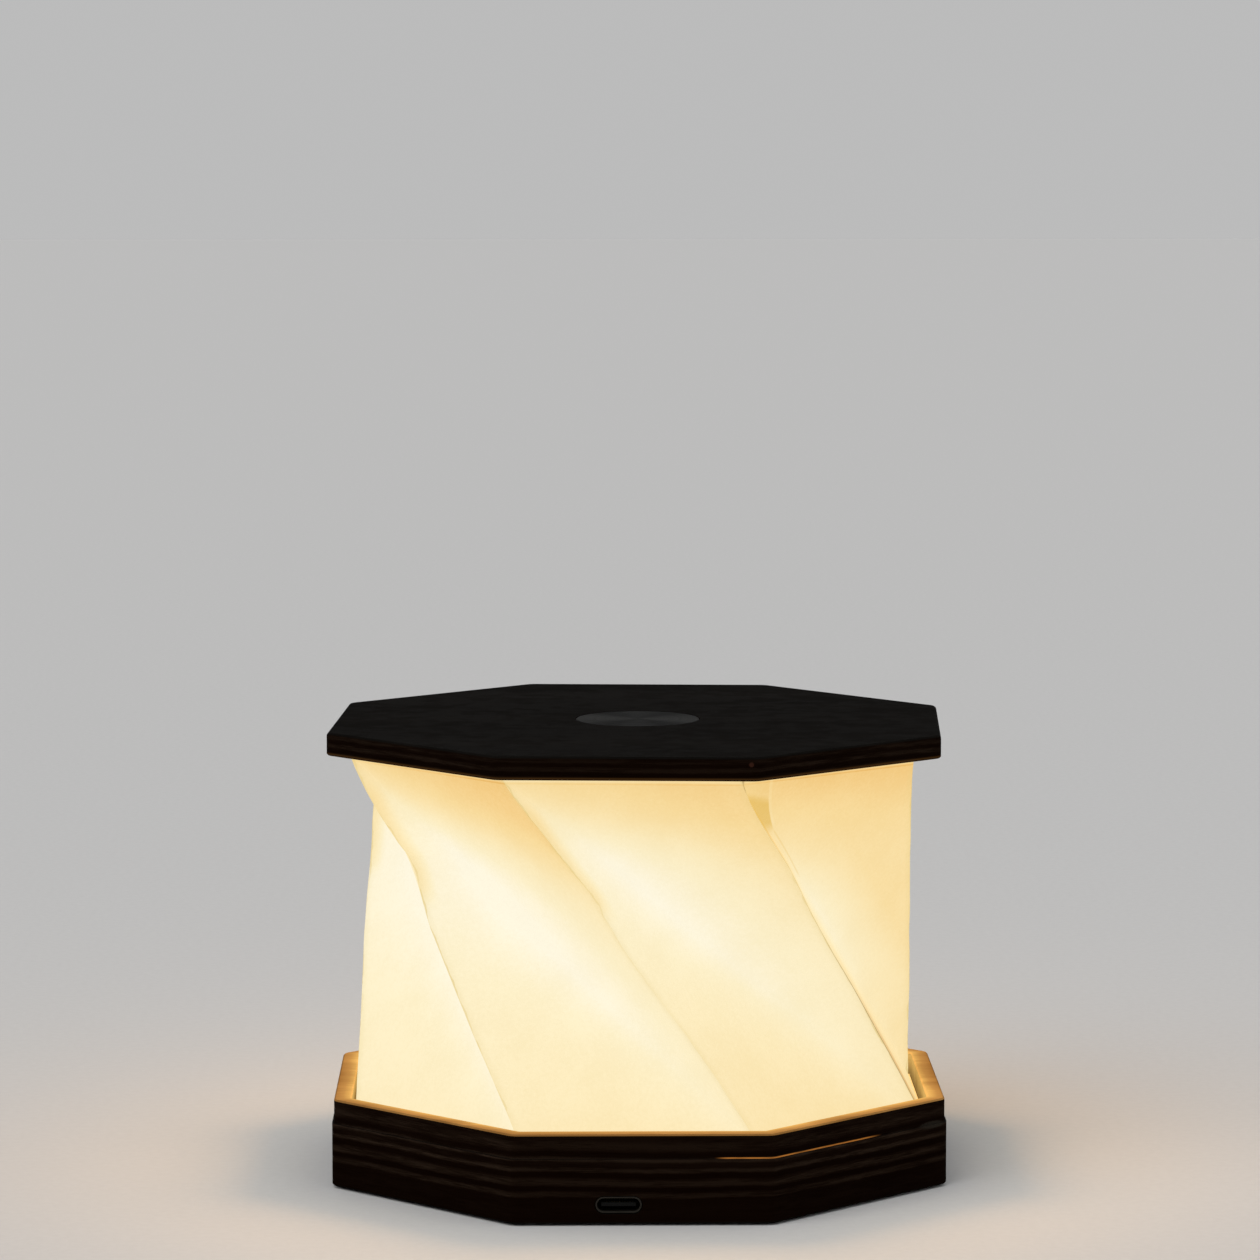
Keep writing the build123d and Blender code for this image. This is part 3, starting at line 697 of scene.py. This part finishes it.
def bend_sides(bm, panel):
    """Soft valleys, ridges that bend aside, a narrower waist, and small dents in the paper."""
    soft, shifts = [], {}
    for vert in bm.verts:
        across, up = vert.link_loops[0][panel].uv
        share = across - math.floor(across)
        from_valley = abs(1 - up - share) * VALLEY_REACH
        from_ridge = min(share, 1 - share) * SIDE_WIDTH
        if from_valley < 10 and from_ridge > 3.0 and 0.06 < up < 0.94:
            soft.append(vert)
        ridge = round(across)
        reach = max(0.0, 1 - abs(across - ridge) / 0.34)
        aside = Vector((-vert.co.y, vert.co.x, 0)).normalized()
        outwards = Vector((vert.co.x, vert.co.y, 0)).normalized()
        waist = WAIST * max(0.0, 1 - abs(up - WAIST_HEIGHT) / 0.3)
        shifts[vert] = aside * bend_at(RIDGE_BENDS[ridge % 8], up) * reach - outwards * waist
    for _ in range(SOFTENING):
        bmesh.ops.smooth_vert(
            bm, verts=soft, factor=0.5, use_axis_x=True, use_axis_y=True, use_axis_z=True
        )
    for vert, shift in shifts.items():
        vert.co += shift
        level = (vert.co.z - shade_low) / (shade_high - shade_low)
        hold = max(0.0, min(1.0, 12 * level * (1 - level)))
        ripple = noise.noise(vert.co * 45) * 0.0004 + noise.noise(vert.co * 160) * 0.0001
        vert.co += Vector((vert.co.x, vert.co.y, 0)).normalized() * ripple * hold


def folded_shade():
    """The paper shade, bent softly at the valleys and sharp at the ridges."""
    bm = bmesh.new()
    panel = bm.loops.layers.uv.new("panel")
    folded_sides(bm, panel)
    bend_sides(bm, panel)
    bmesh.ops.recalc_face_normals(bm, faces=bm.faces[:])
    bmesh.ops.solidify(bm, geom=bm.faces[:], thickness=PAPER_WALL)
    for face in bm.faces:
        face.smooth = True
    mesh = bpy.data.meshes.new("folded_shade")
    bm.to_mesh(mesh)
    bm.free()
    shade = bpy.data.objects.new("folded_shade", mesh)
    bpy.context.scene.collection.objects.link(shade)
    mesh.materials.append(paper)
    mesh.set_sharp_from_angle(angle=math.radians(20))
    return shade


shade = folded_shade()
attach(shade, "shade")
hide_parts("shade")
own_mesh(shade)


# Metal, plastic and the rest
def mottle(tree, first, second):
    """The speckle, and two near colours mixed by it."""
    spots = use(tree, SPECKLE, Coarse=0.55, Fine=6.0)
    return spots, tint(tree, spots["Tone"], first, second)


def plain(name, first, second, roughness, metallic=0.0, bump=0.00002, specular=0.5):
    """A material of two near colours, mottled, with a fine surface."""
    material, tree, sockets = start_material(name, roughness, metallic, specular)
    spots, colour = mottle(tree, first, second)
    feed(tree, sockets["Base Color"], colour)
    rough = span(tree, spots["Tone"], 0, 1, roughness - 0.06, roughness + 0.08)
    feed(tree, sockets["Roughness"], rough)
    raise_by(tree, sockets, spots["Height"], bump, 0.5)
    return material


def brushed_disc():
    material, tree, sockets = start_material("brushed_disc", 0.42, 0.95, 0.5)
    sockets["Specular Tint"].default_value = (0.16, 0.16, 0.155, 1)
    rings_and_sheen = use(tree, RINGS_AND_SHEEN)
    grey = tint(tree, rings_and_sheen["Tone"], (0.014, 0.014, 0.015), (0.026, 0.026, 0.026))
    # Painted sheen: lighter lobes to the left and right of the disc
    grey = tint(tree, times(tree, rings_and_sheen["SheenLobes"], 0.9), grey, (0.08, 0.08, 0.078))
    feed(tree, sockets["Base Color"], grey)
    feed(tree, sockets["Roughness"], span(tree, rings_and_sheen["Tone"], 0, 1, 0.36, 0.5))
    sockets["Anisotropic"].default_value = 0.6
    raise_by(tree, sockets, rings_and_sheen["Height"], 0.00002, 0.6)
    return material


def crossed_screw():
    material, tree, sockets = start_material("crossed_screw", 0.35, 0.9)
    spots, zinc = mottle(tree, (0.42, 0.43, 0.44), (0.55, 0.56, 0.57))
    cross = use(tree, CROSS)["Cross"]
    # Painted shade: the cross recess is drawn dark on the zinc
    feed(tree, sockets["Base Color"], tint(tree, cross, zinc, (0.03, 0.03, 0.03)))
    feed(tree, sockets["Roughness"], span(tree, spots["Tone"], 0, 1, 0.3, 0.45))
    raise_by(tree, sockets, less(tree, 1.0, cross), 0.0004, 0.8)
    return material


# The glue rings are drawn glowing: painted lamp light
def glue_film():
    material, tree, sockets = start_material("glue_film", 0.6, 0.0, 0.3)
    spots, colour = mottle(tree, (0.12, 0.1, 0.07), (0.16, 0.14, 0.1))
    feed(tree, sockets["Base Color"], colour)
    glow_with(tree, sockets, tint(tree, spots["Tone"], (0.86, 0.52, 0.16), (0.92, 0.6, 0.22)))
    raise_by(tree, sockets, spots["Height"], 0.00002, 0.5)
    return material


def glowing_gel():
    material, tree, sockets = start_material("glowing_gel", 0.3)
    spots, colour = mottle(tree, (0.7, 0.5, 0.12), (0.8, 0.6, 0.18))
    feed(tree, sockets["Base Color"], colour)
    light = tint(tree, spots["Tone"], (1.0, 0.72, 0.36), (1.0, 0.8, 0.45))
    glow_with(tree, sockets, light, 4.0)
    return material


def printed_board():
    """Green lacquer over copper tracks."""
    material, tree, sockets = start_material("printed_board", 0.4)
    _, lacquer = mottle(tree, (0.01, 0.09, 0.035), (0.014, 0.12, 0.05))
    track = new_node(tree, "ShaderNodeTexBrick")
    track.inputs["Scale"].default_value = 0.5
    track.inputs["Mortar Size"].default_value = 0.06
    tree.links.new(object_place(tree), track.inputs["Vector"])
    feed(tree, sockets["Base Color"], tint(tree, track.outputs["Fac"], lacquer, (0.05, 0.2, 0.07)))
    raise_by(tree, sockets, track.outputs["Fac"], 0.00003, 0.6)
    return material


woods = {
    "base": plywood("base_plywood", BASE_LAYERS, BASE_EDGE, WALNUT, deck_glow, RAGGED_CORNER_HIGHLIGHT),
    "rim_ring": plywood("rim_plywood", BASE_LAYERS, BASE_EDGE, LIT_VENEER, rim_glow, RAGGED_CORNER_HIGHLIGHT),
    "top_plate": plywood("plate_plywood", PLATE_LAYERS, PLATE_EDGE, WALNUT, plate_glow, WORN_CHIP),
}
finishes = {
    "disc_steel": brushed_disc(),
    "glue_film": glue_film(),
    "silicone": plain("silicone_pad", (0.02, 0.02, 0.021), (0.032, 0.032, 0.034), 0.75, bump=0.00004),
    "zinc_screw": crossed_screw(),
    "socket_steel": plain("socket_steel", (0.022, 0.019, 0.015), (0.031, 0.027, 0.022), 0.5, 0.9),
    "socket_mould": plain(
        "socket_mould", (0.0035, 0.0035, 0.0033), (0.006, 0.006, 0.0056), 0.6, specular=0.06
    ),
    "green_board": printed_board(),
    "white_board": plain("white_board", (0.75, 0.74, 0.72), (0.84, 0.83, 0.81), 0.4),
    "emitter_gel": glowing_gel(),
    "black_mould": plain("black_mould", (0.012, 0.012, 0.013), (0.02, 0.02, 0.021), 0.5),
    "capacitor_clay": plain("capacitor_clay", (0.32, 0.2, 0.1), (0.42, 0.28, 0.15), 0.5),
    "cell_foil": plain("cell_foil", (0.55, 0.56, 0.57), (0.66, 0.67, 0.68), 0.38, 0.7, 0.0001),
    "foam_tape": plain("foam_tape", (0.5, 0.5, 0.48), (0.62, 0.62, 0.6), 0.9, bump=0.0001),
    "white_mould": plain("white_mould", (0.7, 0.69, 0.65), (0.78, 0.77, 0.73), 0.45),
    "lead_cover": plain("lead_cover", (0.4, 0.02, 0.015), (0.5, 0.03, 0.02), 0.5),
    "magnet_nickel": plain("magnet_nickel", (0.55, 0.54, 0.52), (0.64, 0.63, 0.61), 0.22, 0.95),
    "shade_paper": paper,
}
for name, solid in solids.items():
    for index, had in enumerate(solid.data.materials):
        slot = had.name.split(".")[0]
        wood = woods.get(name, woods["base"])
        solid.data.materials[index] = wood if slot == "plywood" else finishes[slot]


# Contacts on the socket's tongue
def tongue_contacts():
    """A row of gilt strips along each face of the tongue."""
    low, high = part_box("usb_tongue")
    middle = (low.x + high.x) / 2
    level = (low.z + high.z) / 2
    bm = bmesh.new()
    for face in (-1, 1):
        for i in range(CONTACT_COUNT):
            aside = (i - (CONTACT_COUNT - 1) / 2) * CONTACT_PITCH
            spot = (middle + aside, low.y + CONTACT_IN, level + face * CONTACT_LIFT)
            place = Matrix.Translation(spot) @ Matrix.Diagonal((*CONTACT_SIZE, 1))
            bmesh.ops.create_cube(bm, size=1.0, matrix=place)
    bmesh.ops.bevel(
        bm, geom=bm.edges[:], offset=0.00001, segments=1, profile=0.5, affect="EDGES", material=-1
    )
    mesh = bpy.data.meshes.new("tongue_contacts")
    bm.to_mesh(mesh)
    bm.free()
    mesh.materials.append(plain("gilt_contact", (0.07, 0.05, 0.022), (0.09, 0.065, 0.03), 0.45, 0.9))
    contacts = bpy.data.objects.new("tongue_contacts", mesh)
    bpy.context.scene.collection.objects.link(contacts)
    return contacts


contacts = tongue_contacts()
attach(contacts, "base")


# Floor and studio light
def pale_floor():
    bm = bmesh.new()
    bmesh.ops.create_grid(bm, x_segments=1, y_segments=1, size=6.0)
    mesh = bpy.data.meshes.new("floor")
    bm.to_mesh(mesh)
    bm.free()
    material, tree, sockets = start_material("pale_floor", 0.8, 0.0, 0.1)
    _, colour = mottle(tree, (0.62, 0.61, 0.6), (0.64, 0.63, 0.62))
    feed(tree, sockets["Base Color"], colour)
    mesh.materials.append(material)
    floor = bpy.data.objects.new("floor", mesh)
    bpy.context.scene.collection.objects.link(floor)


def sky_light(name, place, strength, spread):
    """A wide soft light from one side of the studio."""
    data = bpy.data.lights.new(name, "SUN")
    data.energy = strength
    data.angle = math.radians(spread)
    light = bpy.data.objects.new(name, data)
    light.rotation_euler = (-Vector(place)).to_track_quat("-Z", "Y").to_euler()
    bpy.context.scene.collection.objects.link(light)


def lamp_light():
    """The glow that the paper lets out. It rides with the shade, and the paper doesn't block it."""
    data = bpy.data.lights.new("lamp_light", "POINT")
    data.energy = 0.5
    data.shadow_soft_size = 0.03
    data.color = (1.0, 0.56, 0.22)
    light = bpy.data.objects.new("lamp_light", data)
    light.location = (0, 0, 0.048)
    bpy.context.scene.collection.objects.link(light)
    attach(light, "shade")
    blockers = bpy.data.collections.new("lamp_light_blockers")
    blockers.objects.link(shade)
    blockers.collection_objects[0].light_linking.link_state = "EXCLUDE"
    light.light_linking.blocker_collection = blockers


def studio():
    """An even pale room: the camera and reflections see a pale grey, and the light stays soft."""
    world = bpy.data.worlds.new("studio")
    bpy.context.scene.world = world
    world.use_nodes = True
    tree = world.node_tree
    soft = tree.nodes["Background"]
    soft.inputs["Color"].default_value = (0.96, 0.98, 1.0, 1)
    soft.inputs["Strength"].default_value = 0.42
    seen = new_node(tree, "ShaderNodeBackground")
    seen.inputs["Color"].default_value = (0.5, 0.5, 0.5, 1)
    path = new_node(tree, "ShaderNodeLightPath").outputs
    choice = new_node(tree, "ShaderNodeMixShader")
    sharp = most(tree, path["Is Glossy Ray"], path["Is Transmission Ray"])
    feed(tree, choice.inputs[0], most(tree, path["Is Camera Ray"], sharp))
    tree.links.new(soft.outputs[0], choice.inputs[1])
    tree.links.new(seen.outputs[0], choice.inputs[2])
    tree.links.new(choice.outputs[0], tree.nodes["World Output"].inputs["Surface"])


pale_floor()
sky_light("key_light", (-1.0, -1.1, 1.6), 1.3, 50)
sky_light("fill_light", (1.5, -0.6, 1.2), 0.5, 70)
lamp_light()
studio()
